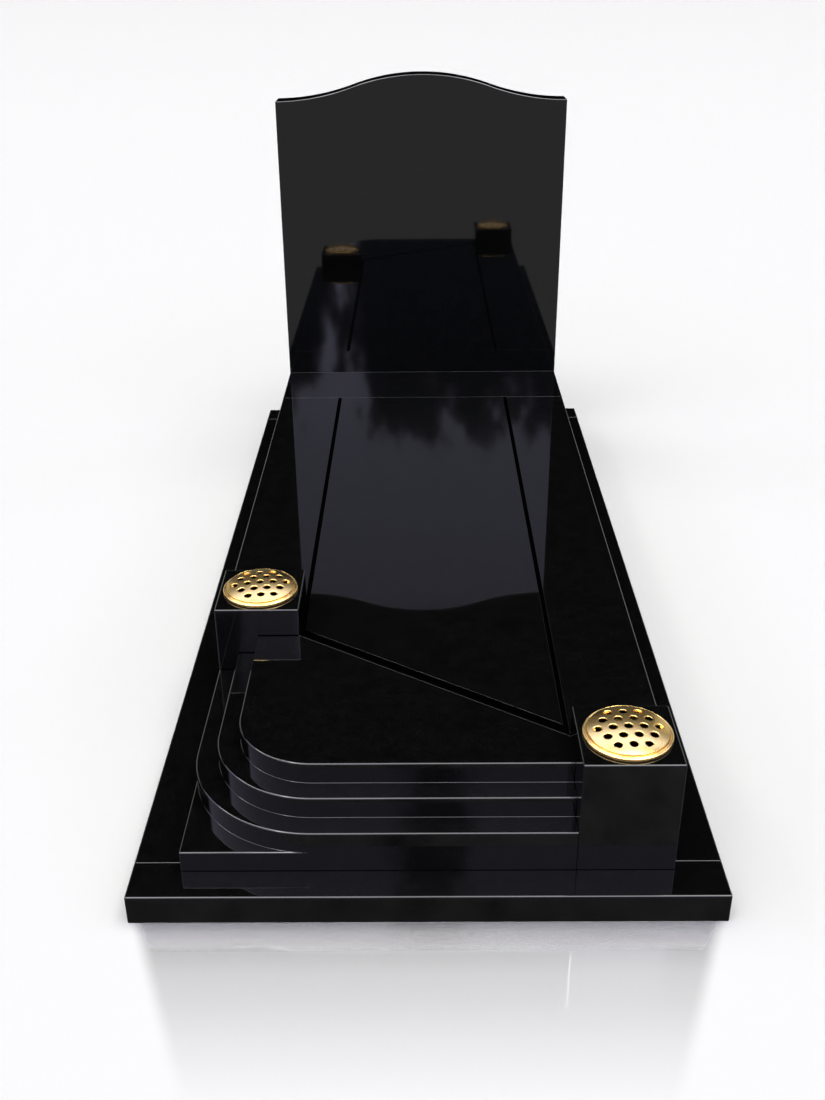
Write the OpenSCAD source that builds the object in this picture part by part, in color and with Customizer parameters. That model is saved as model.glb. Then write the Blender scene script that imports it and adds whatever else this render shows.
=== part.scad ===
// Full kerb grave memorial: a headstone on its plinth at the head of a low stepped body,
// standing on a base frame of four kerbs, with two square vase blocks and their pierced lids.
//
// Millimetres. X is across the memorial, Y runs from the foot (-Y, the stepped front) to the
// head (+Y), and Z is up. The origin is on the ground, in the middle of the base.

/* [Base] */
// Width of the base, side to side
base_w = 914; // [860:1:1100]
// Length of the base, foot to head
base_l = 2032; // [1700:1:2450]
// Thickness of the four base kerbs
base_t = 51; // [30:1:75]
// Depth of the kerb across the foot, front to back
foot_kerb_d = 76; // [65:1:110]
// Depth of the kerb across the head, front to back
head_kerb_d = 76; // [50:1:110]
// How far the side kerbs reach in under the slabs between the rails
bearing = 25; // [12:1:60]

/* [Body] */
// Width of the body that stands on the base
body_w = 762; // [640:1:840]
// Setback of the body from the front edge of the base
front_setback = 57; // [20:1:60]
// Height of each of the four steps
step_h = 36.5; // [28:0.5:48]
// Depth of each tread, at the front and down the left side
tread = 38; // [24:1:46]
// Radius of the rounded corner of the second step; the steps above it are concentric
corner_r = 203; // [150:1:260]

/* [Vase blocks and rails] */
// Side of the square vase blocks, which is also the width of the rails behind them
block_w = 152; // [130:1:185]
// Height of the vase blocks above the top step
block_rise = 54; // [30:1:90]
// Distance from the front of the body to the front of the left block
left_block_setback = 452; // [350:1:600]
// Diameter of the flower well sunk in each block
well_d = 108; // [90:1:120]
// Depth of the flower well
well_depth = 140; // [80:1:170]

/* [Tablet] */
// Distance from the front of the body to the slanted edge, at the right block
slant_right_setback = 145; // [110:1:300]
// Width of the groove along the slanted edge
slant_groove_w = 21; // [12:1:30]
// Width of the grooves between the tablet and the rails
side_groove_w = 9; // [5:0.5:16]
// Depth of the grooves
groove_d = 12; // [5:1:20]

/* [Plinth and headstone] */
// Depth of the plinth, front to back
plinth_d = 293; // [200:1:400]
// Thickness of the headstone
stone_t = 76; // [50:1:125]
// Height of the headstone at its shoulders
stone_shoulder_h = 738; // [500:1:1000]
// Rise of the curved top from the shoulders to the crown
stone_rise = 64; // [40:1:90]
// Radius of the crown curve; the flares beside it take up the rest of the width
crown_r = 550; // [400:1:650]
// Backward lean of the headstone, in degrees
stone_lean = 0.64; // [0.02:0.02:2]

/* [Vase lids] */
// Outer diameter of the lid
lid_d = 138; // [130:1:150]
// Thickness of the lid's rim
lid_rim_h = 6; // [4:0.5:9]
// Diameter of the domed part inside the rim
lid_dome_d = 126; // [118:1:130]
// Height of the edge of the dome above the block
lid_edge_h = 9; // [6:0.5:11]
// Height of the top of the dome above the block
lid_h = 17; // [14:0.5:22]
// Wall thickness of the lid
lid_wall = 3; // [2:0.5:4]
// Depth of the ring that locates the lid in the well
lid_spigot_h = 12; // [6:1:20]
// Gap between that ring and the wall of the well
lid_fit = 1; // [0.5:0.25:2]
// Diameter of the stem holes
hole_d = 13; // [8:0.5:15]
// Spacing of the stem holes
hole_pitch = 23.6; // [18:0.1:24.5]
// Turn of the hole pattern of the left lid, in degrees
left_lid_turn = 8; // [-30:1:30]
// Turn of the hole pattern of the right lid, in degrees
right_lid_turn = 3; // [-30:1:30]

/* [Hidden] */
$fn = 96;
// Length by which a cut runs past the face that it opens
over = 1;
// Rings of stem holes around the middle one
hole_rings = 2;
// How far the headstone's outline goes below the plinth before it is cut level
stone_root = 10;

// Levels
top_of_lower = base_t + 2 * step_h;
top_of_middle = top_of_lower + step_h;
cover_z = top_of_middle + step_h;
block_top = cover_z + block_rise;
groove_z = cover_z - groove_d;

// Lines across the memorial
base_front = -base_l / 2;
base_back = base_l / 2;
body_front = base_front + front_setback;
plinth_front = base_back - plinth_d;
// The leaning headstone: the back of its crown is over the back of the base
stone_foot = base_back - stone_t * cos(stone_lean)
    - (stone_shoulder_h + stone_rise) * sin(stone_lean);
left_block_front = body_front + left_block_setback;
left_rail_front = left_block_front + block_w;
right_rail_front = body_front + block_w;
slant_left = left_block_front;
slant_right = body_front + slant_right_setback;

// Lines along the memorial
body_side = body_w / 2;
bay = body_side - block_w;
kerb_inner = bay - bearing;
block_mid = body_side - block_w / 2;

// The slanted edge: its angle, and how far the groove shifts it along Y
slant_angle = atan((slant_left - slant_right) / (2 * bay));
slant_shift = slant_groove_w / cos(slant_angle);

// The curved top: two tangent arcs from the crown to the shoulder, at stone_turn to the level
stone_turn = 2 * atan(stone_rise / body_side);
flare_r = body_side / sin(stone_turn) - crown_r;
crown_half = crown_r * sin(stone_turn);
crown_z = cover_z + stone_shoulder_h + stone_rise;
shoulder_z = cover_z + stone_shoulder_h;

// The dome of the lid: a ball of this radius stands lid_h above the block
dome_rise = lid_h - lid_edge_h;
dome_r = (pow(lid_dome_d / 2, 2) + pow(dome_rise, 2)) / (2 * dome_rise);
spigot_r = well_d / 2 - lid_fit;

// A straight block between two opposite corners
module block_between(low, high) {
    translate(low) cube(high - low);
}

// A flat slab of a given outline between two levels
module slab(z0, z1) {
    translate([0, 0, z0]) linear_extrude(z1 - z0) children();
}

// Outline of the front of a step, as far back as the left block, set in by a number of treads.
// Its front left corner has radius r, or is square where r is 0.
module step_front(treads, r) {
    x0 = -body_side + treads * tread;
    y0 = body_front + treads * tread;
    if (r > 0) {
        translate([x0 + r, y0 + r]) circle(r);
        translate([x0 + r, y0]) square([bay - x0 - r, r + over]);
        translate([x0, y0 + r]) square([bay - x0, left_block_front - y0 - r]);
    } else {
        translate([x0, y0]) square([bay - x0, left_block_front - y0]);
    }
}

// Outline of the part of a slab that runs back between the rails to the plinth
module bed() {
    translate([-bay, left_block_front]) square([2 * bay, plinth_front - left_block_front]);
}

// Outline of the space behind the slanted edge, with the edge moved back by shift and the
// sides moved in by side
module tablet_outline(shift, side) {
    half = bay - side;
    slope = (slant_left - slant_right) / (2 * bay);
    polygon([
        [-half, slant_left + shift - slope * side],
        [half, slant_right + shift + slope * side],
        [half, plinth_front],
        [-half, plinth_front]
    ]);
}

module base_foot_kerb() {
    color([0.07, 0.07, 0.08])
        block_between([-base_w / 2, base_front, 0], [base_w / 2, base_front + foot_kerb_d, base_t]);
}

module base_head_kerb() {
    color([0.07, 0.07, 0.08])
        block_between([-base_w / 2, base_back - head_kerb_d, 0], [base_w / 2, base_back, base_t]);
}

// The kerb along one side, between the foot and head kerbs; side is -1 or 1
module base_side_kerb(side) {
    mirror([side < 0 ? 1 : 0, 0, 0])
        block_between([kerb_inner, base_front + foot_kerb_d, 0],
                      [base_w / 2, base_back - head_kerb_d, base_t]);
}

module base_left_kerb() {
    color([0.08, 0.08, 0.09]) base_side_kerb(-1);
}

module base_right_kerb() {
    color([0.08, 0.08, 0.09]) base_side_kerb(1);
}

// The two lowest steps, cut from one slab: the first has a square corner, the second a round one
module lower_step() {
    color([0.11, 0.11, 0.13]) {
        slab(base_t, base_t + step_h) {
            step_front(0, 0);
            bed();
        }
        slab(base_t + step_h, top_of_lower) {
            step_front(0, corner_r);
            bed();
        }
    }
}

module middle_step() {
    color([0.15, 0.15, 0.17])
        slab(top_of_lower, top_of_middle) {
            step_front(1, corner_r - tread);
            bed();
        }
}

// The highest step ends at the slanted edge
module top_step() {
    color([0.19, 0.19, 0.22])
        slab(top_of_middle, cover_z)
            difference() {
                step_front(2, corner_r - 2 * tread);
                tablet_outline(0, -over);
            }
}

// The long tablet: its rebated edges leave the grooves beside it
module tablet() {
    color([0.13, 0.13, 0.18]) {
        slab(top_of_middle, groove_z) tablet_outline(0, 0);
        slab(groove_z, cover_z) tablet_outline(slant_shift, side_groove_w);
    }
}

// A rail from the back of its vase block to the plinth; side is -1 or 1
module rail(side, y0) {
    mirror([side < 0 ? 1 : 0, 0, 0])
        block_between([bay, y0, base_t], [body_side, plinth_front, cover_z]);
}

module left_rail() {
    color([0.10, 0.10, 0.12]) rail(-1, left_rail_front);
}

module right_rail() {
    color([0.10, 0.10, 0.12]) rail(1, right_rail_front);
}

// A square block with a round flower well in its top; side is -1 or 1
module vase_block(side, y0) {
    difference() {
        translate([side * block_mid - block_w / 2, y0, base_t])
            cube([block_w, block_w, block_top - base_t]);
        translate([side * block_mid, y0 + block_w / 2, block_top - well_depth])
            cylinder(d = well_d, h = well_depth + over);
    }
}

module left_vase_block() {
    color([0.16, 0.16, 0.19]) vase_block(-1, left_block_front);
}

module right_vase_block() {
    color([0.16, 0.16, 0.19]) vase_block(1, body_front);
}

module head_plinth() {
    color([0.12, 0.12, 0.14])
        block_between([-body_side, plinth_front, base_t], [body_side, base_back, cover_z]);
}

// Outline of the headstone from the front: a crown between two flares that end level. It goes on
// below the plinth for the level cut
module stone_outline() {
    difference() {
        union() {
            translate([-body_side, cover_z - stone_root])
                square([body_w, stone_shoulder_h + stone_root]);
            translate([-body_side, shoulder_z])
                square([body_w, crown_z - shoulder_z - crown_r * (1 - cos(stone_turn))]);
            intersection() {
                translate([0, crown_z - crown_r]) circle(crown_r, $fn = 360);
                translate([-crown_half, shoulder_z]) square([2 * crown_half, stone_rise + over]);
            }
        }
        for (side = [-1, 1])
            translate([side * body_side, shoulder_z + flare_r]) circle(flare_r, $fn = 360);
    }
}

module headstone() {
    color([0.14, 0.14, 0.15]) difference() {
        translate([0, stone_foot, cover_z]) rotate([-stone_lean, 0, 0])
            translate([0, stone_t, -cover_z]) rotate([90, 0, 0])
                linear_extrude(stone_t) stone_outline();
        translate([-body_w, stone_foot - stone_t, cover_z - 2 * stone_t])
            cube([2 * body_w, 4 * stone_t, 2 * stone_t]);
    }
}

// The middles of the stem holes, in a hexagon of rings around the middle one
hole_places = [
    for (row = [-hole_rings:hole_rings])
        for (i = [0:2 * hole_rings - abs(row)])
            [(i - (2 * hole_rings - abs(row)) / 2) * hole_pitch, row * hole_pitch * sin(60)]
];

// A domed lid with a stepped rim, standing on z = 0, and a ring below that drops in the well
module vase_lid(turn) {
    dome_mid = lid_h - dome_r;
    rotate([0, 0, turn]) difference() {
        union() {
            cylinder(d = lid_d, h = lid_rim_h);
            intersection() {
                translate([0, 0, dome_mid]) sphere(dome_r);
                cylinder(d = lid_dome_d, h = lid_h + over);
            }
            translate([0, 0, -lid_spigot_h]) cylinder(r = spigot_r, h = lid_spigot_h + over);
        }
        intersection() {
            translate([0, 0, dome_mid]) sphere(dome_r - lid_wall);
            translate([0, 0, -over]) cylinder(r = spigot_r - lid_wall, h = lid_h + over);
        }
        translate([0, 0, -lid_spigot_h - over])
            cylinder(r = spigot_r - lid_wall, h = lid_spigot_h + over);
        for (place = hole_places)
            translate([place[0], place[1], 0]) cylinder(d = hole_d, h = lid_h + over);
    }
}

module left_vase_lid() {
    color([0.83, 0.65, 0.28])
        translate([-block_mid, left_block_front + block_w / 2, block_top]) vase_lid(left_lid_turn);
}

module right_vase_lid() {
    color([0.83, 0.65, 0.28])
        translate([block_mid, body_front + block_w / 2, block_top]) vase_lid(right_lid_turn);
}

base_foot_kerb();
base_head_kerb();
base_left_kerb();
base_right_kerb();
lower_step();
middle_step();
top_step();
tablet();
left_rail();
right_rail();
left_vase_block();
right_vase_block();
head_plinth();
headstone();
left_vase_lid();
right_vase_lid();
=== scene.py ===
"""Looks of a full kerb grave memorial in polished black granite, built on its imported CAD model.

Every length is in metres, in the frame of the CAD: X across the memorial, -Y at the stepped foot end,
+Y at the head, Z up, with the origin on the ground in the middle of the base.
"""
import math

import bmesh
import bpy
from mathutils import Matrix, Vector
from mathutils.geometry import delaunay_2d_cdt


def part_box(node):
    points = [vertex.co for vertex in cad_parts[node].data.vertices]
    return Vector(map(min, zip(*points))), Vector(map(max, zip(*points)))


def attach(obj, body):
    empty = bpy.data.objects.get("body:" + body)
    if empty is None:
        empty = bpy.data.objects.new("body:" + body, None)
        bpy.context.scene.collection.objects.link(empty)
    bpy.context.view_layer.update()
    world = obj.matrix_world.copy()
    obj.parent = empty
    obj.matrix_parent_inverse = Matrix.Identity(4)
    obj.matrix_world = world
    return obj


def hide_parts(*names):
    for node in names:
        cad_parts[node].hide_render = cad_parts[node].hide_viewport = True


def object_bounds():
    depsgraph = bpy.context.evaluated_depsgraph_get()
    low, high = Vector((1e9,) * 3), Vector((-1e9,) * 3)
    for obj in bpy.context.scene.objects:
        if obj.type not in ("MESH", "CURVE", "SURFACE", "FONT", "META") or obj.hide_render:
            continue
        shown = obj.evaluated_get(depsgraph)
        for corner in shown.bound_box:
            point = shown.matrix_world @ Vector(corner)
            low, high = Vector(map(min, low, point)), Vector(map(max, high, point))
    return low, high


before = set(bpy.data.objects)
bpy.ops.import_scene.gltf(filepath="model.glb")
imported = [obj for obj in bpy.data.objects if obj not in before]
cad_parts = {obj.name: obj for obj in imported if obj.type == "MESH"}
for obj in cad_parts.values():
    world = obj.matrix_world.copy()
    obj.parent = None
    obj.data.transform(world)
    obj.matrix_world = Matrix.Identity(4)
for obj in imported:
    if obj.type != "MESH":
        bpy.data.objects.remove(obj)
cad_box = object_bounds()

# ---------------------------------------------------------------- sizes that the frame doesn't give
ARRIS = 0.0026            # width of the polished bevel along an exposed arris
SEAM_SHARE = 0.36         # share of that width where two stones meet flush
FOOT_SHARE = 0.45         # the same at the foot, where the shade of the joint is painted matt black
FINE_SHARE = 0.13         # the same along the grooves
HIGHLIGHT_STRIP_WIDTH = 0.0009      # width of the light matt strip painted as a highlight along the top step's edge at the slanted groove
HIGHLIGHT_STRIP_DEPTH = 0.0005      # how deep that painted highlight strip reaches into the step
HIGHLIGHT_STRIP_PROUD = 0.00005     # how far that strip stands above the step
LEAN = math.radians(0.64) # backward lean of the headstone
CROWN_RISE = 0.064        # rise of the headstone's top from its shoulders to its crown
CROWN_R = 0.550           # radius of that crown
CORNER_R = 0.203          # radius of the lowest rounded step; those above are concentric
SQUARE_LAP = 0.03         # how far the square corner of the lowest step laps into the round slab
SIDE_GROOVE = 0.009       # grooves beside the tablet
SLANT_GROOVE = 0.021      # groove along its slanted edge
GROOVE_DEPTH = 0.012
COVE = 0.0008             # radius of the cove of joint filler at the foot of a riser
COVE_ROOM = 0.4           # most of the tread that the cove takes where the tread runs out
COVE_STEPS = 5
SINK = 0.0002             # how far the root of the cove is let into the tread
BEAD = 0.0003             # radius of the cove of filler at the foot of the headstone
JOINT = 0.0017            # height of the painted shade of the joint at the foot of the left vase block
JOINT_PROUD = 0.0003      # how far it stands in front of the block's face
JOINT_INTO = 0.0005       # how far it reaches into the block
WELL_R = 0.054            # flower well in each vase block
WELL_DEPTH = 0.140
ARC_STEPS = 48            # segments of each rounded corner
WELL_STEPS = 96
TURNED = math.radians(20) # faces that meet at more than this get an arris
NEAR = 1e-5               # points closer than this to a plane lie in it

# ---------------------------------------------------------------- levels and lines from the frame
LOWER_LO, LOWER_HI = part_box("lower_step")
MIDDLE_LO, MIDDLE_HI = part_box("middle_step")
TOP_LO, TOP_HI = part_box("top_step")
PLINTH_LO, PLINTH_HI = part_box("head_plinth")
LEFT_BLOCK_LO, LEFT_BLOCK_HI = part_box("left_vase_block")
RIGHT_BLOCK_LO, RIGHT_BLOCK_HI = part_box("right_vase_block")
TABLET_LO, TABLET_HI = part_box("tablet")

TREAD = MIDDLE_LO.x - LOWER_LO.x
STEP_H = TOP_HI.z - TOP_LO.z
BAY = RIGHT_BLOCK_LO.x                  # half the width between the rails
BODY_FRONT = LOWER_LO.y
PLINTH_FRONT = PLINTH_LO.y
STEPS_BACK = LEFT_BLOCK_LO.y            # where the steps meet the left vase block
SLANT_LEFT = TOP_HI.y
SLANT_RIGHT = TABLET_LO.y
SLANTED = "slanted"                     # the vertical plane between the top step and the tablet


def collection(name):
    made = bpy.data.collections.new(name)
    bpy.context.scene.collection.children.link(made)
    return made


STONEWORK = collection("memorial")
STAGE = collection("stage")
LIDS = collection("lids")


# ================================================================ materials
def node_adder(tree):
    """A function that adds a node of a kind to a tree, with its settings."""
    def node(kind, **settings):
        made = tree.nodes.new(kind)
        for key, value in settings.items():
            setattr(made, key, value)
        return made

    return node


def new_material(name):
    """A node material, its node tree's adder and linker, and its Principled shader."""
    mat = bpy.data.materials.new(name)
    mat.use_nodes = True
    tree = mat.node_tree
    return mat, node_adder(tree), tree.links.new, tree.nodes["Principled BSDF"]


def ramp(node, link, source, stops):
    """A colour ramp fed by source, with stops as (place, colour or grey level)."""
    made = node("ShaderNodeValToRGB")
    elements = made.color_ramp.elements
    while len(elements) < len(stops):
        elements.new(0.5)
    for element, (place, level) in zip(elements, stops):
        element.position = place
        grey = isinstance(level, (int, float))
        element.color = (level, level, level, 1.0) if grey else (*level, 1.0)
    link(source, made.inputs["Fac"])
    return made.outputs["Color"]


def math_node(node, link, operation, first, second=None):
    made = node("ShaderNodeMath", operation=operation)
    for slot, value in ((0, first), (1, second)):
        if isinstance(value, (int, float)):
            made.inputs[slot].default_value = value
        elif value is not None:
            link(value, made.inputs[slot])
    return made.outputs[0]


def smooth_step(node, link, source, start, end):
    """0 at start and 1 at end, with a soft change between; start may be the larger."""
    made = node("ShaderNodeMapRange", interpolation_type="SMOOTHSTEP")
    link(source, made.inputs["Value"])
    made.inputs["From Min"].default_value = start
    made.inputs["From Max"].default_value = end
    return made.outputs["Result"]


def granite(name, polish):
    """Black granite: near black with fine dark grey crystals. polish is the mean roughness."""
    mat, node, link, shader = new_material(name)
    place = node("ShaderNodeTexCoord").outputs["Object"]

    crystals = node("ShaderNodeTexVoronoi", feature="F1")
    crystals.inputs["Scale"].default_value = 650.0
    link(place, crystals.inputs["Vector"])
    spread = node("ShaderNodeSeparateColor")
    link(crystals.outputs["Color"], spread.inputs["Color"])
    flecks = ramp(node, link, spread.outputs["Red"],
                  [(0.0, (0.00078, 0.00080, 0.00079)), (0.80, (0.00102, 0.00104, 0.00103)),
                   (0.94, (0.0015, 0.00152, 0.0015)), (1.0, (0.0027, 0.0027, 0.0027))])

    cloud = node("ShaderNodeTexNoise")
    cloud.inputs["Scale"].default_value = 38.0
    cloud.inputs["Detail"].default_value = 6.0
    cloud.inputs["Roughness"].default_value = 0.62
    link(place, cloud.inputs["Vector"])
    tone = ramp(node, link, cloud.outputs["Fac"], [(0.32, 0.75), (0.68, 1.35)])
    mixed = node("ShaderNodeMix", data_type="RGBA", blend_type="MULTIPLY")
    mixed.inputs["Factor"].default_value = 1.0
    link(flecks, mixed.inputs["A"])
    link(tone, mixed.inputs["B"])
    link(mixed.outputs["Result"], shader.inputs["Base Color"])

    haze = ramp(node, link, cloud.outputs["Fac"], [(0.3, polish * 0.9), (0.7, polish * 1.1)])
    link(haze, shader.inputs["Roughness"])
    shader.inputs["IOR"].default_value = 1.54
    return mat


def matt_black(name, low, high, scale):
    """Matt black between two grey levels, mottled at a scale."""
    mat, node, link, shader = new_material(name)
    grain = node("ShaderNodeTexNoise")
    grain.inputs["Scale"].default_value = scale
    grain.inputs["Detail"].default_value = 4.0
    link(node("ShaderNodeTexCoord").outputs["Object"], grain.inputs["Vector"])
    link(ramp(node, link, grain.outputs["Fac"], [(0.3, low), (0.7, high)]), shader.inputs["Base Color"])
    shader.inputs["Roughness"].default_value = 0.75
    shader.inputs["Specular IOR Level"].default_value = 0.0
    return mat


def gold(name):
    """Satin gold-coloured metal with a faint grain and a slight change of tone."""
    mat, node, link, shader = new_material(name)
    place = node("ShaderNodeTexCoord").outputs["Object"]
    patches = node("ShaderNodeTexNoise")
    patches.inputs["Scale"].default_value = 30.0
    patches.inputs["Detail"].default_value = 3.0
    link(place, patches.inputs["Vector"])
    colour = ramp(node, link, patches.outputs["Fac"],
                  [(0.30, (0.75, 0.50, 0.16)), (0.70, (0.80, 0.545, 0.19))])
    link(colour, shader.inputs["Base Color"])
    grain = node("ShaderNodeTexNoise")
    grain.inputs["Scale"].default_value = 1800.0
    grain.inputs["Detail"].default_value = 2.0
    link(place, grain.inputs["Vector"])
    satin = ramp(node, link, grain.outputs["Fac"], [(0.3, 0.175), (0.7, 0.20)])
    link(satin, shader.inputs["Roughness"])
    shader.inputs["Metallic"].default_value = 1.0
    return mat


POLISHED = granite("polished_granite", 0.03)
# light matt grey: a painted highlight along the top step's edge at the slanted groove
PAINTED_ARRIS_HIGHLIGHT = matt_black("painted_arris_highlight", 0.020, 0.035, 700.0)
SAWN = matt_black("sawn_granite", 0.0002, 0.0006, 900.0)
# matt black, darker than the stone: painted shade in the joints at the feet of the stones
PAINTED_JOINT_SHADE = matt_black("painted_joint_shade", 0.0001, 0.0004, 300.0)
GOLD = gold("gold_metal")


# ================================================================ mesh building
def add_object(name, bm, material, coll):
    mesh = bpy.data.meshes.new(name)
    bm.to_mesh(mesh)
    bm.free()
    mesh.materials.append(material)
    obj = bpy.data.objects.new(name, mesh)
    coll.objects.link(obj)
    return obj


def arc(centre, radius, start, end, steps=ARC_STEPS):
    """Points along an arc, in degrees, both ends included."""
    turns = [math.radians(start + (end - start) * i / steps) for i in range(steps + 1)]
    return [(centre[0] + radius * math.cos(t), centre[1] + radius * math.sin(t)) for t in turns]


def prism_faces(outline, low, high, place):
    """The faces of an outline pushed from low to high; place maps (u, v, w) to a point."""
    n = len(outline)
    bottom = [place(u, v, low) for u, v in outline]
    top = [place(u, v, high) for u, v in outline]
    sides = [[bottom[i], bottom[(i + 1) % n], top[(i + 1) % n], top[i]] for i in range(n)]
    return [bottom[::-1], top] + sides


def mesh_of(faces):
    """A bmesh of faces given by their corner points; corners that coincide are one vertex."""
    bm = bmesh.new()
    found = {}
    for face in faces:
        corners = []
        for point in face:
            key = tuple(round(c * 1e7) for c in point)
            if key not in found:
                found[key] = bm.verts.new(point)
            if found[key] not in corners:
                corners.append(found[key])
        if len(corners) > 2:
            bm.faces.new(corners)
    bmesh.ops.recalc_face_normals(bm, faces=bm.faces)
    return bm


def in_plane(edge, planes):
    """Whether an edge lies in one of the planes, given as (axis, value) or as the slanted one."""
    def off(point, plane):
        if plane == SLANTED:
            along = (point.x + BAY) / (2 * BAY)
            return point.y - (SLANT_LEFT + (SLANT_RIGHT - SLANT_LEFT) * along)
        return point[plane[0]] - plane[1]

    return any(all(abs(off(v.co, plane)) < NEAR for v in edge.verts) for plane in planes)


def weigh_arrises(bm, seams=(), fine=(), foot=True):
    """Mark the convex edges for the bevel, by less in seam planes and least in fine ones."""
    bottom = min(v.co.z for v in bm.verts)
    weight = bm.edges.layers.float.new("bevel_weight_edge")
    for edge in bm.edges:
        turned = edge.calc_face_angle(0.0) > TURNED
        at_foot = all(abs(v.co.z - bottom) < NEAR for v in edge.verts)
        rounded = turned and edge.is_convex and (foot or not at_foot)
        edge.smooth = rounded or not turned
        if rounded:
            edge[weight] = SEAM_SHARE if in_plane(edge, seams) else 1.0
            if in_plane(edge, fine):
                edge[weight] = FINE_SHARE
            if at_foot:
                edge[weight] = FOOT_SHARE
    for face in bm.faces:
        face.smooth = True


def add_bevel(obj):
    bevel = obj.modifiers.new("arris", "BEVEL")
    bevel.limit_method = "WEIGHT"
    bevel.width = ARRIS
    bevel.segments = 4
    bevel.harden_normals = True


def stone(name, node, faces, seams=(), fine=(), foot=True):
    """A piece of polished stone made of flat faces, standing for a CAD node."""
    bm = mesh_of(faces)
    weigh_arrises(bm, seams, fine, foot)
    obj = add_object(name, bm, POLISHED, STONEWORK)
    add_bevel(obj)
    claim(obj, node)
    return obj


def bake_with_painted_foot_shade(obj):
    """Bake the bevels of a stone and make the narrow one round its foot matt black, as painted shade of
    the joint.
    """
    bake_modifiers(obj)
    obj.data.materials.append(PAINTED_JOINT_SHADE)
    corners = obj.data.vertices
    bottom = min(v.co.z for v in corners)
    for face in obj.data.polygons:
        if max(corners[i].co.z for i in face.vertices) < bottom + FOOT_SHARE * ARRIS + NEAR:
            face.material_index = 1
    level = obj.modifiers.new("flat_faces", "WEIGHTED_NORMAL")
    level.keep_sharp = True
    level.weight = 100


def claim(obj, node):
    """Hang a piece under the root and hide the CAD node that it stands for."""
    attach(obj, "root")
    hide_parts(node)


def loft_faces(rings):
    """The faces of a solid that passes through rings of points, closed at both ends."""
    n = len(rings[0])
    faces = [rings[0][::-1], rings[-1]]
    for low, high in zip(rings, rings[1:]):
        faces += [[low[i], low[(i + 1) % n], high[(i + 1) % n], high[i]] for i in range(n)]
    return faces


def upright(u, v, w):
    return (u, v, w)


def block(name, node, seams=(), fine=()):
    """A plain rectangular stone of the size of its CAD node."""
    low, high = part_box(node)
    outline = [(low.x, low.y), (high.x, low.y), (high.x, high.y), (low.x, high.y)]
    return stone(name, node, prism_faces(outline, low.z, high.z, upright), seams, fine)


# ================================================================ the stones
def base_frame():
    foot_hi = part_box("base_foot_kerb")[1]
    head_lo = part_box("base_head_kerb")[0]
    ends = [(1, foot_hi.y), (1, head_lo.y)]
    for side in ("foot", "head", "left", "right"):
        block(f"base_kerb_{side}", f"base_{side}_kerb", ends)


def bed_outline():
    """The part of a slab that runs back between the rails, from its right side to the left block."""
    return [(BAY, PLINTH_FRONT), (-BAY, PLINTH_FRONT), (-BAY, STEPS_BACK)]


def rounded_front(inset):
    """The rounded corner and the front of a step, from its left side to its right end.

    inset is how far they stand back from the lowest ones.
    """
    radius = CORNER_R - inset
    left = LOWER_LO.x + inset
    front = BODY_FRONT + inset
    corner = arc((left + radius, front + radius), radius, 180, 270)
    return [(left, STEPS_BACK)] + corner + [(BAY, front)]


STEP_SEAMS = [(0, BAY), (1, STEPS_BACK), (1, PLINTH_FRONT)]


def at_height(points, z):
    return [(x, y, z) for x, y in points]


def cove_turns():
    """Angles through the cove of joint filler at the foot of a riser, from the tread up."""
    return [math.radians(90 * i / COVE_STEPS) for i in range(COVE_STEPS + 1)]


def stacked_step(name, node, treads, behind):
    """A step laid on the one below, with a fine cove along its foot; behind is its back outline."""
    low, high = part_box(node)
    rings = []
    for turn in cove_turns():
        out = COVE * (1 - math.sin(turn))
        points = rounded_front(treads * TREAD - out) + behind
        rings.append(at_height(points, low.z + COVE * (1 - math.cos(turn))))
    for level in (low.z + 2 * COVE, high.z):
        rings.append(at_height(rounded_front(treads * TREAD) + behind, level))
    stone(name, node, loft_faces(rings), STEP_SEAMS, [SLANTED], foot=False)


def middle_step():
    stacked_step("steps_middle", "middle_step", 1, bed_outline())


def top_step():
    stacked_step("steps_top", "top_step", 2, [(BAY, SLANT_RIGHT), (-BAY, SLANT_LEFT)])


def grown_front(share):
    """The rounded outline with its foot grown out, as (x, y, reach of the cove there).

    share is the part of the cove's width to grow by; the cove narrows where the tread runs out.
    """
    middle = Vector((LOWER_LO.x + CORNER_R, BODY_FRONT + CORNER_R))
    points = []
    for x, y in rounded_front(0.0):
        away = Vector((x, y)) - middle
        on_curve = x < middle.x and y < middle.y
        room = min(x - LOWER_LO.x, y - BODY_FRONT)
        reach = min(COVE, COVE_ROOM * room) if on_curve else 0.0
        away = away.normalized() * reach * share
        points.append((x + away.x, y + away.y, reach))
    return points


def lower_rings():
    """Rings of the round slab from its underside up, with a cove at the height of the first tread."""
    z0, z1, z2 = LOWER_LO.z, LOWER_LO.z + STEP_H, LOWER_HI.z
    path = rounded_front(0.0)

    def ring(share, rise, sink=0.0):
        outline = [(x, y, z1 + reach * rise - sink) for x, y, reach in grown_front(share)]
        return outline + at_height(bed_outline(), z1 - sink)

    rings = [at_height(path + bed_outline(), z0), ring(0.0, 0.0, 2 * SINK), ring(1.0, 0.0, SINK)]
    rings += [ring(1 - math.sin(turn), 1 - math.cos(turn)) for turn in cove_turns()]
    return rings + [ring(0.0, 2.0), at_height(path + bed_outline(), z2)]


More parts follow.
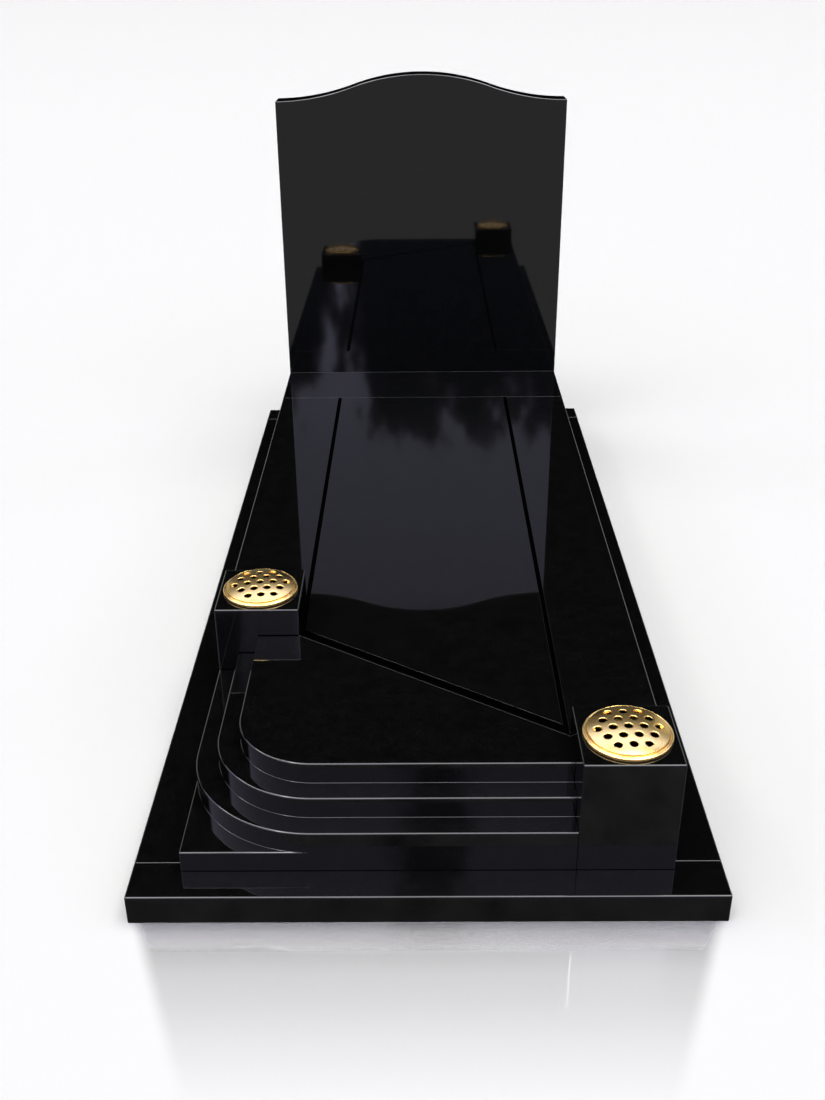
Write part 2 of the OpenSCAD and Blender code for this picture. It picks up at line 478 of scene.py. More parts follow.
def square_corner():
    """The square corner of the lowest step, which laps into the round slab behind it."""
    path = rounded_front(0.0)
    left_end, front_end = path[1], path[ARC_STEPS + 1]
    middle = Vector((LOWER_LO.x + CORNER_R, BODY_FRONT + CORNER_R))
    inner = middle + Vector((-1, -1)).normalized() * CORNER_R + Vector((SQUARE_LAP, SQUARE_LAP))
    square = [left_end, (LOWER_LO.x, BODY_FRONT), front_end, (front_end[0], front_end[1] + SQUARE_LAP),
              tuple(inner), (left_end[0] + SQUARE_LAP, left_end[1])]
    bm = mesh_of(prism_faces(square, LOWER_LO.z, LOWER_LO.z + STEP_H, upright))
    weigh_arrises(bm)
    weight = bm.edges.layers.float["bevel_weight_edge"]
    for edge in bm.edges:
        on_side = in_plane(edge, [(0, LOWER_LO.x)])
        on_front = in_plane(edge, [(1, BODY_FRONT)])
        upright_edge = abs(edge.verts[0].co.z - edge.verts[1].co.z) > 10 * NEAR
        if not (on_side or on_front) or (upright_edge and not (on_side and on_front)):
            edge[weight] = 0.0
    corner = add_object("lower_corner", bm, POLISHED, STONEWORK)
    add_bevel(corner)
    return corner


def lower_step():
    """Two steps in one slab: the lower has a square corner, the upper a round one, fronts flush."""
    bm = mesh_of(loft_faces(lower_rings()))
    weigh_arrises(bm, STEP_SEAMS, foot=True)
    weight = bm.edges.layers.float["bevel_weight_edge"]
    for edge in bm.edges:
        if all(LOWER_LO.z + 10 * NEAR < v.co.z < LOWER_HI.z - 10 * NEAR for v in edge.verts):
            edge[weight] = 0.0
            edge.smooth = True
    slab = add_object("steps_lower", bm, POLISHED, STONEWORK)
    add_bevel(slab)
    corner = square_corner()
    union = slab.modifiers.new("corner", "BOOLEAN")
    union.operation = "UNION"
    union.object = corner
    union.solver = "EXACT"
    bake_with_painted_foot_shade(slab)
    bpy.data.objects.remove(corner)
    claim(slab, "lower_step")


def bake_modifiers(obj):
    """Replace an object's mesh by the result of its modifiers."""
    seen = obj.evaluated_get(bpy.context.evaluated_depsgraph_get())
    mesh = bpy.data.meshes.new_from_object(seen)
    obj.modifiers.clear()
    obj.data = mesh
    bm = bmesh.new()
    bm.from_mesh(mesh)
    bmesh.ops.remove_doubles(bm, verts=bm.verts, dist=2e-6)
    bmesh.ops.dissolve_degenerate(bm, edges=bm.edges, dist=2e-6)
    for face in bm.faces:
        face.smooth = True
    for edge in bm.edges:
        edge.smooth = edge.calc_face_angle(0.0) < math.radians(40)
    bm.to_mesh(mesh)
    bm.free()


def tablet_outlines():
    """The tablet's outline, and that of its top within the grooves."""
    slope = (SLANT_LEFT - SLANT_RIGHT) / (2 * BAY)
    shift = SLANT_GROOVE * math.hypot(1.0, slope)
    half = BAY - SIDE_GROOVE
    outer = [(-BAY, SLANT_LEFT), (BAY, SLANT_RIGHT), (BAY, PLINTH_FRONT), (-BAY, PLINTH_FRONT)]
    inner = [(-half, SLANT_LEFT + shift - slope * SIDE_GROOVE),
             (half, SLANT_RIGHT + shift + slope * SIDE_GROOVE),
             (half, PLINTH_FRONT), (-half, PLINTH_FRONT)]
    return outer, inner


def tablet():
    """The long tablet, polished on top, with the sawn rebates that leave the grooves."""
    z0, z1 = TABLET_LO.z, TABLET_HI.z
    ledge = z1 - GROOVE_DEPTH
    outer, inner = tablet_outlines()
    foot, rim = at_height(outer, z0), at_height(outer, ledge)
    step, top = at_height(inner, ledge), at_height(inner, z1)
    faces = [foot[::-1], top]
    for i, j in ((3, 0), (0, 1), (1, 2)):
        faces.append([foot[i], foot[j], rim[j], rim[i]])
        faces.append([rim[i], rim[j], step[j], step[i]])
        faces.append([step[i], step[j], top[j], top[i]])
    faces.append([foot[2], foot[3], rim[3], step[3], top[3], top[2], step[2], rim[2]])
    slab = stone("tablet_slab", "tablet", faces, fine=[(1, PLINTH_FRONT), (2, z1), (2, ledge)])
    slab.data.materials.append(SAWN)
    corners = slab.data.vertices
    for face in slab.data.polygons:
        at_top = min(corners[i].co.z for i in face.vertices) > z1 - NEAR
        face.material_index = 0 if at_top else 1


def vase_block(side):
    """A square block with a round flower well in its top."""
    node = f"{side}_vase_block"
    low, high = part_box(node)
    mid = (low + high) / 2
    corners = [(high.x, high.y), (low.x, high.y), (low.x, low.y), (high.x, low.y)]
    rim = arc((mid.x, mid.y), WELL_R, 45, 405, WELL_STEPS)[:-1]
    floor_z = high.z - WELL_DEPTH
    quarter = WELL_STEPS // 4

    def at(point, z):
        return (point[0], point[1], z)

    faces = [[at(p, low.z) for p in corners][::-1]]
    for k in range(4):
        a, b = corners[k], corners[(k + 1) % 4]
        part = [rim[(k * quarter + i) % WELL_STEPS] for i in range(quarter + 1)]
        faces.append([at(a, low.z), at(b, low.z), at(b, high.z), at(a, high.z)])
        faces.append([at(a, high.z), at(b, high.z)] + [at(p, high.z) for p in part[::-1]])
    for i in range(WELL_STEPS):
        a, b = rim[i], rim[(i + 1) % WELL_STEPS]
        faces.append([at(b, floor_z), at(a, floor_z), at(a, high.z), at(b, high.z)])
    faces.append([at(p, floor_z) for p in rim])
    bake_with_painted_foot_shade(stone(f"vase_block_{side}", node, faces))


def slant_arris_highlight():
    """A light matt grey strip along the edge of the top step at the slanted groove: a painted
    highlight.
    """
    outline = [(-BAY, SLANT_LEFT - HIGHLIGHT_STRIP_WIDTH), (BAY, SLANT_RIGHT - HIGHLIGHT_STRIP_WIDTH),
               (BAY, SLANT_RIGHT), (-BAY, SLANT_LEFT)]
    faces = prism_faces(outline, TOP_HI.z - HIGHLIGHT_STRIP_DEPTH, TOP_HI.z + HIGHLIGHT_STRIP_PROUD, upright)
    strip = add_object("top_step_painted_highlight", mesh_of(faces), PAINTED_ARRIS_HIGHLIGHT, STONEWORK)
    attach(strip, "root")


def block_joint_shade():
    """Matt black strips, painted shade of the joints, where the face of the left vase block meets each
    tread.
    """
    levels = [(LOWER_LO.x + ARRIS, MIDDLE_LO.x, LOWER_HI.z), (MIDDLE_LO.x, TOP_LO.x, MIDDLE_HI.z),
              (TOP_LO.x, LEFT_BLOCK_HI.x - ARRIS, TOP_HI.z)]
    faces = []
    for left, right, level in levels:
        outline = [(left, STEPS_BACK - JOINT_PROUD), (right, STEPS_BACK - JOINT_PROUD),
                   (right, STEPS_BACK + JOINT_INTO), (left, STEPS_BACK + JOINT_INTO)]
        faces += prism_faces(outline, level - SINK, level + JOINT, upright)
    joints = add_object("left_block_joint_shade", mesh_of(faces), PAINTED_JOINT_SHADE, STONEWORK)
    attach(joints, "root")


def headstone_outline(low, high, tall):
    """Its front face flat on a table, as (x, height): a crown between two flares."""
    half = (high.x - low.x) / 2
    turn = 2 * math.atan(CROWN_RISE / half)
    flare_r = half / math.sin(turn) - CROWN_R
    turn = math.degrees(turn)
    shoulder = tall - CROWN_RISE
    flare_right = arc((half, shoulder + flare_r), flare_r, 270, 270 - turn)
    crown = arc((0.0, tall - CROWN_R), CROWN_R, 90 - turn, 90 + turn, 2 * ARC_STEPS)
    flare_left = [(-x, z) for x, z in flare_right[::-1]]
    return [(low.x, 0.0), (high.x, 0.0)] + flare_right + crown[1:-1] + flare_left


def headstone():
    """The upright slab: its top is a crown between two flares that end level at the sides."""
    low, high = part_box("headstone")
    tall = (high.z - low.z) / math.cos(LEAN)
    thick = (high.y - low.y - tall * math.sin(LEAN)) / math.cos(LEAN)

    def leaning(u, v, w):
        """The point at height v up the slab and depth w into it, with its foot cut level."""
        if v == 0.0:
            return (u, low.y + w / math.cos(LEAN), low.z)
        return (u, low.y + w * math.cos(LEAN) + v * math.sin(LEAN),
                low.z + v * math.cos(LEAN) - w * math.sin(LEAN))

    faces = prism_faces(headstone_outline(low, high, tall), 0.0, thick, leaning)
    stone("headstone_slab", "headstone", faces, foot=False)


def headstone_bead():
    """A fine cove of joint filler along the foot of the headstone's face."""
    low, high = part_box("headstone")
    section = [(0.0, 0.0)] + [(-BEAD * (1 - math.sin(t)), BEAD * (1 - math.cos(t)))
                              for t in cove_turns()]
    bm = mesh_of(prism_faces(section, low.x + ARRIS, high.x - ARRIS,
                             lambda y, z, x: (x, low.y + y, low.z + z)))
    bead = add_object("headstone_bead", bm, POLISHED, STONEWORK)
    for polygon in bead.data.polygons:
        polygon.use_smooth = True
    bead.data.set_sharp_from_angle(angle=math.radians(30))
    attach(bead, "root")


base_frame()
lower_step()
middle_step()
top_step()
tablet()
bake_with_painted_foot_shade(block("rail_left", "left_rail", [(1, PLINTH_FRONT)], [(0, -BAY)]))
bake_with_painted_foot_shade(block("rail_right", "right_rail", [(1, PLINTH_FRONT)], [(0, BAY)]))
vase_block("left")
vase_block("right")
bake_with_painted_foot_shade(block("plinth_head", "head_plinth", fine=[(1, PLINTH_FRONT)]))
headstone()
headstone_bead()
block_joint_shade()
slant_arris_highlight()


# ================================================================ the vase lids
DOME_R = 0.062            # radius of the dome inside the rim
DOME_RISE = 0.0077        # height of its top above its edge
DOME_TOP = 0.017          # height of its top above the block
LID_WALL = 0.003
SPIGOT_R = 0.053
SPIGOT_H = 0.012
HOLE_R = 0.0065
HOLE_PITCH = 0.0236
HOLE_STEPS = 32
# Turned-down lip of a hole, as (distance outside its edge, height)
LIP = [(0.0, -0.0005), (0.0003, -0.0002), (0.0007, -0.00005), (0.0012, 0.0)]
LID_STEPS = 160
FILL_PITCH = 0.0021       # spacing of the points that fill the disc between its holes
FILL_GAP = 0.6            # share of it that they keep clear of the holes and the edge
ROW_RATIO = 0.866         # spacing of their rows, as a share of the same
STRAIGHT_R = 0.0565       # within this the underside lies straight below the top
SPIGOT_EASE = 0.0006      # bevel along the foot of the ring that drops in the well


def hole_places():
    """The middles of the 19 stem holes: a hexagon in rows of 3, 4, 5, 4 and 3."""
    places = []
    for row in range(-2, 3):
        count = 5 - abs(row)
        for i in range(count):
            x = (i - (count - 1) / 2) * HOLE_PITCH
            places.append(Vector((x, row * HOLE_PITCH * math.sin(math.radians(60)))))
    return places


def dome_z(radius, drop=0.0):
    """Height of the dome's surface at a distance from its middle; drop moves it down."""
    ball = (DOME_R ** 2 + DOME_RISE ** 2) / (2 * DOME_RISE)
    return DOME_TOP - ball + math.sqrt((ball - drop) ** 2 - radius ** 2)


def disc_rings():
    """The disc's edge and the rings of its holes: points, their edges, lifts, and the hole rings."""
    points = [Vector(p) for p in arc((0, 0), DOME_R, 0, 360, LID_STEPS)[:-1]]
    edges = [(i, (i + 1) % LID_STEPS) for i in range(LID_STEPS)]
    lifts = [0.0] * LID_STEPS
    rings = []
    for middle in hole_places():
        for grow, lift in LIP:
            start = len(points)
            for p in arc(middle, HOLE_R + grow, 0, 360, HOLE_STEPS)[:-1]:
                points.append(Vector(p))
                lifts.append(lift)
            if grow == 0.0:
                rings.append(range(start, start + HOLE_STEPS))
            edges += [(start + i, start + (i + 1) % HOLE_STEPS) for i in range(HOLE_STEPS)]
    return points, edges, lifts, rings


def fill_points():
    """Points in staggered rows over the disc, clear of its edge and its holes."""
    rows = int(DOME_R / FILL_PITCH) + 1
    clear = HOLE_R + LIP[-1][0] + FILL_PITCH * FILL_GAP
    made = []
    for row in range(-rows, rows + 1):
        for i in range(-rows, rows + 1):
            p = Vector(((i + 0.5 * (row % 2)) * FILL_PITCH, row * FILL_PITCH * ROW_RATIO))
            inside = p.length < DOME_R - FILL_PITCH * FILL_GAP
            if inside and all((p - m).length > clear for m in hole_places()):
                made.append(p)
    return made


def pierced_disc():
    """A triangulated disc with 19 round holes: points, lifts, triangles, hole rings and edge."""
    points, edges, lifts, rings = disc_rings()
    extra = fill_points()
    points += extra
    lifts += [0.0] * len(extra)
    verts, _, faces, vert_from, _, _ = delaunay_2d_cdt(points, edges, [], 1, 1e-7)
    origin = {source: new for new, sources in enumerate(vert_from) for source in sources}
    lift_of = [lifts[sources[0]] if sources else 0.0 for sources in vert_from]
    kept = []
    for face in faces:
        middle = sum((verts[i] for i in face), Vector((0, 0))) / len(face)
        if all((middle - m).length > HOLE_R * 0.999 for m in hole_places()):
            kept.append(face)
    rings = [[origin[i] for i in ring] for ring in rings]
    outer = [origin[i] for i in range(LID_STEPS)]
    return verts, lift_of, kept, rings, outer


# Outside of the rim, from the edge of the dome out and down to the underside, then the ring that
# drops in the well, as (radius, height)
RIM_PROFILE = (
    [(0.0621, 0.0090), (0.0623, 0.0089), (0.0626, 0.0091), (0.0629, 0.0088), (0.0631, 0.0080)]
    + arc((0.0649, 0.0062), 0.0018, 180, 290, 8)
    + arc((0.0667, 0.0033), 0.0023, 130, -40, 14)
    + [(0.0678, 0.0010), (0.0677, 0.0), (SPIGOT_R, 0.0)]
    + [(SPIGOT_R, -SPIGOT_H + SPIGOT_EASE), (SPIGOT_R - SPIGOT_EASE, -SPIGOT_H)]
    + [(SPIGOT_R - LID_WALL + SPIGOT_EASE, -SPIGOT_H),
       (SPIGOT_R - LID_WALL, -SPIGOT_H + SPIGOT_EASE)]
)


def underside(bm, verts):
    """Points below the disc's own: straight below, but drawn in to the well ring near its edge."""
    shrink = (SPIGOT_R - LID_WALL) / DOME_R
    under = []
    for v in verts:
        share = max(0.0, (v.length - STRAIGHT_R) / (DOME_R - STRAIGHT_R))
        flat = v * (1.0 + (shrink - 1.0) * share) if share > 0 else v
        under.append(bm.verts.new((flat.x, flat.y, dome_z(min(flat.length, DOME_R), LID_WALL))))
    return under


def join_loops(bm, last, loop):
    """Faces between two loops of the same number of points."""
    for i in range(LID_STEPS):
        j = (i + 1) % LID_STEPS
        bm.faces.new([last[i], loop[i], loop[j], last[j]])


def lid_mesh():
    """A domed, pierced lid with a grooved rim and a ring under it, standing at the origin."""
    bm = bmesh.new()
    verts, lifts, faces, rings, outer = pierced_disc()
    top = [bm.verts.new((v.x, v.y, dome_z(v.length) + lift)) for v, lift in zip(verts, lifts)]
    for face in faces:
        bm.faces.new([top[i] for i in face])
    under = underside(bm, verts)
    for face in faces:
        bm.faces.new([under[i] for i in reversed(face)])
    for ring in rings:
        for i in range(HOLE_STEPS):
            a, b = ring[i], ring[(i + 1) % HOLE_STEPS]
            bm.faces.new([top[b], top[a], under[a], under[b]])
    last = [top[i] for i in outer]
    for radius, height in RIM_PROFILE:
        loop = [bm.verts.new((radius * math.cos(t), radius * math.sin(t), height))
                for t in (math.tau * i / LID_STEPS for i in range(LID_STEPS))]
        join_loops(bm, last, loop)
        last = loop
    join_loops(bm, last, [under[i] for i in outer])
    bmesh.ops.recalc_face_normals(bm, faces=bm.faces)
    return bm


def vase_lid(side, turn):
    """A lid in its place on its block, turned by an angle in degrees."""
    node = f"{side}_vase_lid"
    low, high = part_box(node)
    centre = Vector(((low.x + high.x) / 2, (low.y + high.y) / 2, high.z - DOME_TOP))
    bm = lid_mesh()
    bm.transform(Matrix.Translation(centre) @ Matrix.Rotation(math.radians(turn), 4, "Z"))
    for edge in bm.edges:
        edge.smooth = edge.calc_face_angle(0.0) < math.radians(50)
    for face in bm.faces:
        face.smooth = True
    obj = add_object(f"vase_lid_{side}", bm, GOLD, LIDS)
    claim(obj, node)


vase_lid("left", 8)
vase_lid("right", 3)


# ================================================================ stage
# Share of the floor's polish by the distance in front of the base, set to match the photo
FADE = [(0.0, 0.72), (0.016, 0.61), (0.05, 0.47), (0.10, 0.33), (0.15, 0.27), (0.22, 0.15), (0.33, 0.0)]
NARROWING = 0.39          # how fast the polished patch narrows away from the base
SIDE_FADE = 0.03          # width over which it fades at its sides
FLOOR_WHITE = (0.279, 0.2778, 0.2645)     # reflectance that makes the floor white in this light


def floor_material(half_x, half_y):
    """White floor whose polish shows close to the base and fades away from it."""
    mat, node, link, shader = new_material("floor_white")
    shader.inputs["Base Color"].default_value = (*FLOOR_WHITE, 1.0)
    shader.inputs["Roughness"].default_value = 0.9
    shader.inputs["Specular IOR Level"].default_value = 0.0
    parts = node("ShaderNodeSeparateXYZ")
    link(node("ShaderNodeTexCoord").outputs["Object"], parts.inputs["Vector"])
    ahead = math_node(node, link, "SUBTRACT", -half_y, parts.outputs["Y"])
    aside = math_node(node, link, "ABSOLUTE", parts.outputs["X"])
    narrowing = math_node(node, link, "MULTIPLY", ahead, NARROWING)
    beside = math_node(node, link, "SUBTRACT", math_node(node, link, "ADD", aside, narrowing), half_x)
    near = ramp(node, link, ahead, FADE)
    within = smooth_step(node, link, beside, 0.0, -SIDE_FADE)
    in_front = math_node(node, link, "GREATER_THAN", ahead, 0.0)
    fade = math_node(node, link, "MULTIPLY", near, math_node(node, link, "MULTIPLY", in_front, within))
    mirror = node("ShaderNodeBsdfGlossy")
    mirror.inputs["Color"].default_value = (1.0, 1.0, 1.0, 1.0)
    mirror.inputs["Roughness"].default_value = 0.03
    mix = node("ShaderNodeMixShader")
    link(fade, mix.inputs["Fac"])
    link(shader.outputs["BSDF"], mix.inputs[1])
    link(mirror.outputs["BSDF"], mix.inputs[2])
    link(mix.outputs["Shader"], mat.node_tree.nodes["Material Output"].inputs["Surface"])
    return mat


def glow_material(name):
    """An emission material, its node adder and linker, and its emission shader."""
    mat = bpy.data.materials.new(name)
    mat.use_nodes = True
    tree = mat.node_tree
    tree.nodes.clear()
    node = node_adder(tree)
    glow = node("ShaderNodeEmission")
    tree.links.new(glow.outputs["Emission"], node("ShaderNodeOutputMaterial").inputs["Surface"])
    return mat, node, tree.links.new, glow


TENT_R = 200.0
# Light of the tent by the sine of the elevation: dusk under the tree line, a soft bluish band
# above it, and a bright white ring of silk round an open, dim top
SKY = [(0.0, (0.006, 0.007, 0.010)), (0.345, (0.008, 0.009, 0.013)), (0.375, (0.025, 0.025, 0.035)),
       (0.388, (0.07, 0.068, 0.095)), (0.402, (0.235, 0.230, 0.312)), (0.46, (0.262, 0.255, 0.348)),
       (0.525, (0.262, 0.255, 0.348)), (0.555, (0.125, 0.122, 0.165)), (0.59, (0.125, 0.122, 0.163)),
       (0.61, (0.155, 0.151, 0.203)), (0.67, (0.180, 0.176, 0.232)), (0.70, (0.160, 0.156, 0.200)),
       (0.74, (0.07, 0.07, 0.08)), (0.82, (0.07, 0.07, 0.076)), (0.88, (1.0, 1.0, 1.0)),
       (0.945, (1.0, 1.0, 1.0)), (0.965, (0.12, 0.12, 0.12)), (1.0, (0.08, 0.08, 0.08))]
SKY_GAIN = 14.5
ROOF_EDGE = (0.92, 0.955)     # where the roof starts over the head end
SKY_SIDES = (0.36, 0.46)      # where the band fades out towards the head end
# The shapes below are placed by direction to fall where the photo's stone mirrors them. X is across,
# heights and depths are sines of the elevation and depression.
TREE_SCALE = 44.0
TREE_STRETCH = 0.4            # how much taller than wide the branches are
TREE_MEAN = 0.55              # the noise level that leaves the tree line where it is
TREE_RISE = 0.26              # how far the noise moves the tree line
TREE_TOPS = (0.37, 0.445)     # between these heights it is uneven
CLEARING = (-0.104, -0.072, -0.052, -0.030)    # the gap in the trees, by X
CLEARING_FOOT = 0.40          # its haze lifts the sky of this height down to the horizon
CLEARING_SHARE = 0.93         # and by how much of the way
LEFT_OPENING = (-0.03, -0.055, 0.05)   # left of here the tree line is lower, and by how much
LEFT_OPENING_FOOT = (0.335, 0.365)     # the heights over which that sets in
LONE_TREE = (-0.040, -0.008, 0.016, 0.046)     # a dark tree against the bright band, by X
LONE_TREE_HEIGHT = (0.56, 0.60, 0.74, 0.78)
LONE_TREE_DEPTH = (0.56, 0.60, 0.66, 0.68)     # the same below the horizon
LONE_TREE_SHADE = 0.76
LONE_TREE_SHADE_BELOW = 0.5
LONE_TREE_EDGE = 0.06                  # how ragged it is
LONE_TREE_EDGE_BELOW = 0.03
LEFT_WALL = (-0.30, -0.50, 0.175)      # left of here the white roof reaches lower, and by how much
LEFT_WALL_FOOT = (0.705, 0.73)         # the heights over which that sets in
BLOCK_SIDE = (-0.215, -0.205, -0.107, -0.097)  # the left block's face mirrors less light, by X
BLOCK_SIDE_SHADE = 0.50
BLOCK_EDGE = (-0.215, -0.205, -0.152, -0.142)  # and still less along its left edge
BLOCK_EDGE_SHADE = 0.90
BLOCK_HEIGHT = (0.490, 0.505, 0.56, 0.575)
# The same below the horizon, by the sine of the depression: a floor that darkens downwards
GROUND = [(0.0, 0.415), (0.34, 0.415), (0.62, 0.165), (0.66, 0.150), (0.70, 0.105), (1.0, 0.04)]
# What the gold of the lids mirrors over the head end, by the sine of the elevation
HEAD_GLOW = [(0.0, (0.036, 0.036, 0.036)), (0.35, (0.042, 0.042, 0.043)), (0.48, (0.052, 0.052, 0.056)),
             (0.55, (0.090, 0.092, 0.11)), (0.60, (0.22, 0.235, 0.32)), (0.67, (0.56, 0.62, 0.98)),
             (0.75, (0.80, 0.90, 1.6)), (1.0, (0.80, 0.90, 1.6))]
HEAD_GLOW_GAIN = 2.3
CLOUD_SCALE = 34.0
CLOUD_DEPTH = (0.45, 0.58)    # the ground is cloudy below these depths
CARD_GLOW = 0.7

# The camera, recovered from the photo
CAMERA_TURN = -0.400          # degrees, to the right of +Y
CAMERA_TILT = -27.700
CAMERA_ROLL = -0.489
CAMERA_PLACE = Vector((-0.0092, -1.3429, 1.3439))     # Y is from the front of the base
LENS = 39.08                  # mm, for a sensor 36 mm along the longer side


def direction(node, link):
    """The direction from the middle of the tent, whole and as separate X, Y and Z."""
    unit = node("ShaderNodeVectorMath", operation="NORMALIZE")
    link(node("ShaderNodeTexCoord").outputs["Object"], unit.inputs[0])
    parts = node("ShaderNodeSeparateXYZ")
    link(unit.outputs["Vector"], parts.inputs["Vector"])
    return unit.outputs["Vector"], parts.outputs


def bump_between(node, link, source, stops):
    """0 outside four increasing stops and 1 between the middle two, with soft flanks."""
    rise = smooth_step(node, link, source, stops[0], stops[1])
    fall = smooth_step(node, link, source, stops[3], stops[2])
    return math_node(node, link, "MULTIPLY", rise, fall)


def product(node, link, first, second):
    return math_node(node, link, "MULTIPLY", first, second)


def added(node, link, base, share, amount):
    """base + share * amount."""
    return math_node(node, link, "ADD", base, product(node, link, share, amount))


def branches(node, link, unit):
    """Noise with upright streaks, centred on 0 at the mean tree line."""
    stretched = node("ShaderNodeVectorMath", operation="MULTIPLY")
    link(unit, stretched.inputs[0])
    stretched.inputs[1].default_value = (1.0, 1.0, TREE_STRETCH)
    trees = node("ShaderNodeTexNoise")
    trees.inputs["Scale"].default_value = TREE_SCALE
    trees.inputs["Detail"].default_value = 5.0
    trees.inputs["Roughness"].default_value = 0.6
    link(stretched.outputs["Vector"], trees.inputs["Vector"])
    return math_node(node, link, "SUBTRACT", trees.outputs["Fac"], TREE_MEAN)


def sky_height(node, link, parts, noise):
    """The height to look up in SKY: the true one, moved by the trees, the gap and the left wall."""
    below = smooth_step(node, link, parts["Z"], TREE_TOPS[1], TREE_TOPS[0])
    height = added(node, link, parts["Z"], product(node, link, noise, below), TREE_RISE)
    gap = bump_between(node, link, parts["X"], CLEARING)
    short = math_node(node, link, "SUBTRACT", CLEARING_FOOT, parts["Z"])
    short = math_node(node, link, "MAXIMUM", short, 0.0)
    height = added(node, link, height, product(node, link, gap, short), CLEARING_SHARE)
    left = smooth_step(node, link, parts["X"], LEFT_OPENING[0], LEFT_OPENING[1])
    left = product(node, link, left, smooth_step(node, link, parts["Z"], *LEFT_OPENING_FOOT))
    height = added(node, link, height, product(node, link, left, below), LEFT_OPENING[2])
    wall = smooth_step(node, link, parts["X"], LEFT_WALL[0], LEFT_WALL[1])
    wall = product(node, link, wall, smooth_step(node, link, parts["Z"], *LEFT_WALL_FOOT))
    return added(node, link, height, wall, LEFT_WALL[2])


def sky_shade(node, link, parts, noise):
    """How much the lone tree, or what the left block's face mirrors, takes away from the light."""
    ragged = added(node, link, parts["X"], noise, LONE_TREE_EDGE)
    tree = product(node, link, bump_between(node, link, ragged, LONE_TREE),
                   bump_between(node, link, parts["Z"], LONE_TREE_HEIGHT))
    side = product(node, link, bump_between(node, link, parts["X"], BLOCK_SIDE), BLOCK_SIDE_SHADE)
    edge = product(node, link, bump_between(node, link, parts["X"], BLOCK_EDGE), BLOCK_EDGE_SHADE)
    dark = product(node, link, math_node(node, link, "MAXIMUM", side, edge),
                   bump_between(node, link, parts["Z"], BLOCK_HEIGHT))
    return math_node(node, link, "MAXIMUM", product(node, link, tree, LONE_TREE_SHADE), dark)


def sky_material():
    """Light of the tent: by height, with an uneven tree line, and open towards the head end."""
    mat, node, link, glow = glow_material("tent_light")
    unit, parts = direction(node, link)
    noise = branches(node, link, unit)
    link(ramp(node, link, sky_height(node, link, parts, noise), SKY), glow.inputs["Color"])
    sides = smooth_step(node, link, parts["Y"], SKY_SIDES[1], SKY_SIDES[0])
    roof = smooth_step(node, link, parts["Z"], *ROOF_EDGE)
    spread = math_node(node, link, "MAXIMUM", sides, roof)
    shade = sky_shade(node, link, parts, noise)
    clear = math_node(node, link, "SUBTRACT", SKY_GAIN, product(node, link, shade, SKY_GAIN))
    link(product(node, link, spread, clear), glow.inputs["Strength"])
    return mat


def ground_material():
    """What the polished stone mirrors below the horizon; it is cloudy at the larger depths."""
    mat, node, link, glow = glow_material("ground_light")
    unit, parts = direction(node, link)
    depth = product(node, link, parts["Z"], -1.0)
    level = ramp(node, link, depth, GROUND)
    clouds = node("ShaderNodeTexNoise")
    clouds.inputs["Scale"].default_value = CLOUD_SCALE
    clouds.inputs["Detail"].default_value = 4.0
    link(unit, clouds.inputs["Vector"])
    uneven = ramp(node, link, clouds.outputs["Fac"], [(0.3, 0.62), (0.7, 1.38)])
    mottle = node("ShaderNodeMix", data_type="FLOAT")
    link(smooth_step(node, link, depth, *CLOUD_DEPTH), mottle.inputs["Factor"])
    mottle.inputs["A"].default_value = 1.0
    link(uneven, mottle.inputs["B"])
    ragged = added(node, link, parts["X"], clouds.outputs["Fac"], LONE_TREE_EDGE_BELOW)
    tree = product(node, link, bump_between(node, link, ragged, LONE_TREE),
                   bump_between(node, link, depth, LONE_TREE_DEPTH))
    shade = product(node, link, tree, LONE_TREE_SHADE_BELOW)
    level = product(node, link, level, math_node(node, link, "SUBTRACT", 1.0, shade))
    link(product(node, link, level, mottle.outputs["Result"]), glow.inputs["Strength"])
    return mat


def head_glow_material():
    """A soft glow over the head end, for the gold lids alone."""
    mat, node, link, glow = glow_material("head_glow")
    parts = direction(node, link)[1]
    link(ramp(node, link, parts["Z"], HEAD_GLOW), glow.inputs["Color"])
    glow.inputs["Strength"].default_value = HEAD_GLOW_GAIN
    return mat


def plain_glow(name, strength):
    mat, _, _, glow = glow_material(name)
    glow.inputs["Strength"].default_value = strength
    return mat


def shell(name, material, radius, wanted=lambda d: True):
    """The part of a large sphere whose faces' directions are wanted; the camera doesn't see it."""
    bm = bmesh.new()
    bmesh.ops.create_icosphere(bm, subdivisions=5, radius=radius)
    spare = [f for f in bm.faces if not wanted(f.calc_center_median().normalized())]
    bmesh.ops.delete(bm, geom=spare, context="FACES")
    obj = add_object(name, bm, material, STAGE)
    obj.visible_camera = False
    return obj


def floor():
    """The white floor. Reflections don't see it: the ground tent stands in for it there."""
    _, high = cad_box
    bm = bmesh.new()
    bmesh.ops.create_circle(bm, cap_ends=True, segments=96, radius=1.2 * TENT_R)
    plane = add_object("floor", bm, floor_material(high[0], high[1]), STAGE)
    plane.visible_glossy = False


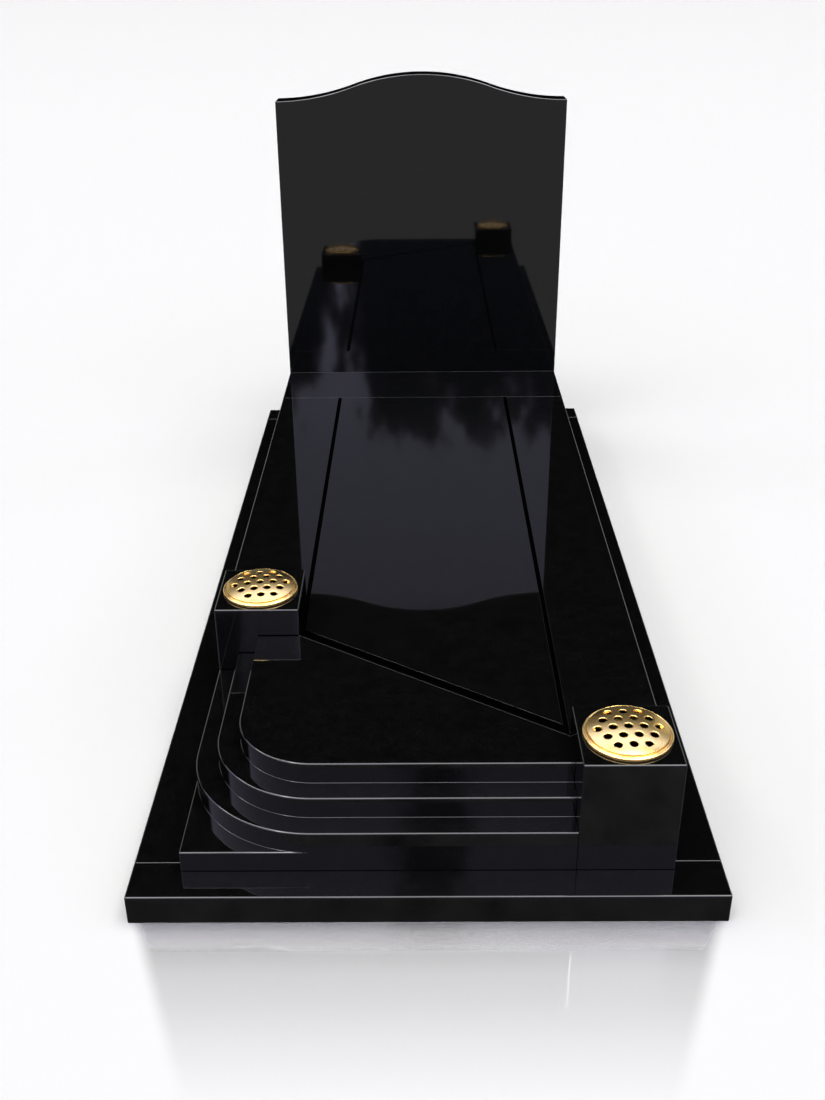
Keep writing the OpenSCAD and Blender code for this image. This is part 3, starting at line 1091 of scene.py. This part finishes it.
def tents():
    """The shells of light, open towards the head end, and the glow that lights the lids alone."""
    shell("light_tent", sky_material(), TENT_R,
          lambda d: d.z > 0 and (d.y < SKY_SIDES[1] + 0.05 or d.z > ROOF_EDGE[0] - 0.02))
    ground = shell("ground_tent", ground_material(), TENT_R, lambda d: d.z < 0)
    head = shell("head_glow", head_glow_material(), 1.1 * TENT_R, lambda d: d.z > 0)
    head.light_linking.receiver_collection = LIDS
    cards = shell("side_cards", plain_glow("card_light", CARD_GLOW), 1.05 * TENT_R,
                  lambda d: abs(d.x) > 0.36 and d.y > 0.4 and -0.1 < d.z < 0.5)
    for mirrored_only in (ground, cards):
        mirrored_only.visible_diffuse = False
        mirrored_only.visible_shadow = False


def background():
    """White behind everything for the camera; it lights nothing."""
    world = bpy.data.worlds.new("studio")
    bpy.context.scene.world = world
    world.use_nodes = True
    world.node_tree.nodes["Background"].inputs["Color"].default_value = (1.0, 1.0, 1.0, 1.0)
    for ray in ("diffuse", "glossy", "transmission", "scatter"):
        setattr(world.cycles_visibility, ray, False)


def camera():
    """A camera above the foot end, looking down along the memorial at its headstone."""
    turn, tilt, roll = map(math.radians, (CAMERA_TURN, CAMERA_TILT, CAMERA_ROLL))
    forward = Vector((math.sin(turn) * math.cos(tilt), math.cos(turn) * math.cos(tilt), math.sin(tilt)))
    right = Vector((math.cos(turn), -math.sin(turn), 0.0))
    up = right.cross(forward)
    right, up = (math.cos(roll) * right + math.sin(roll) * up,
                 math.cos(roll) * up - math.sin(roll) * right)
    data = bpy.data.cameras.new("camera")
    data.sensor_width = 36.0
    data.sensor_fit = "AUTO"
    data.lens = LENS
    data.clip_end = 1000.0
    cam = bpy.data.objects.new("camera", data)
    STAGE.objects.link(cam)
    axes = Matrix((right, up, -forward)).transposed().to_4x4()
    place = CAMERA_PLACE + Vector((0.0, cad_box[0][1], 0.0))
    cam.matrix_world = Matrix.Translation(place) @ axes
    bpy.context.scene.camera = cam


floor()
tents()
background()
camera()
bpy.context.scene.view_settings.view_transform = "Standard"
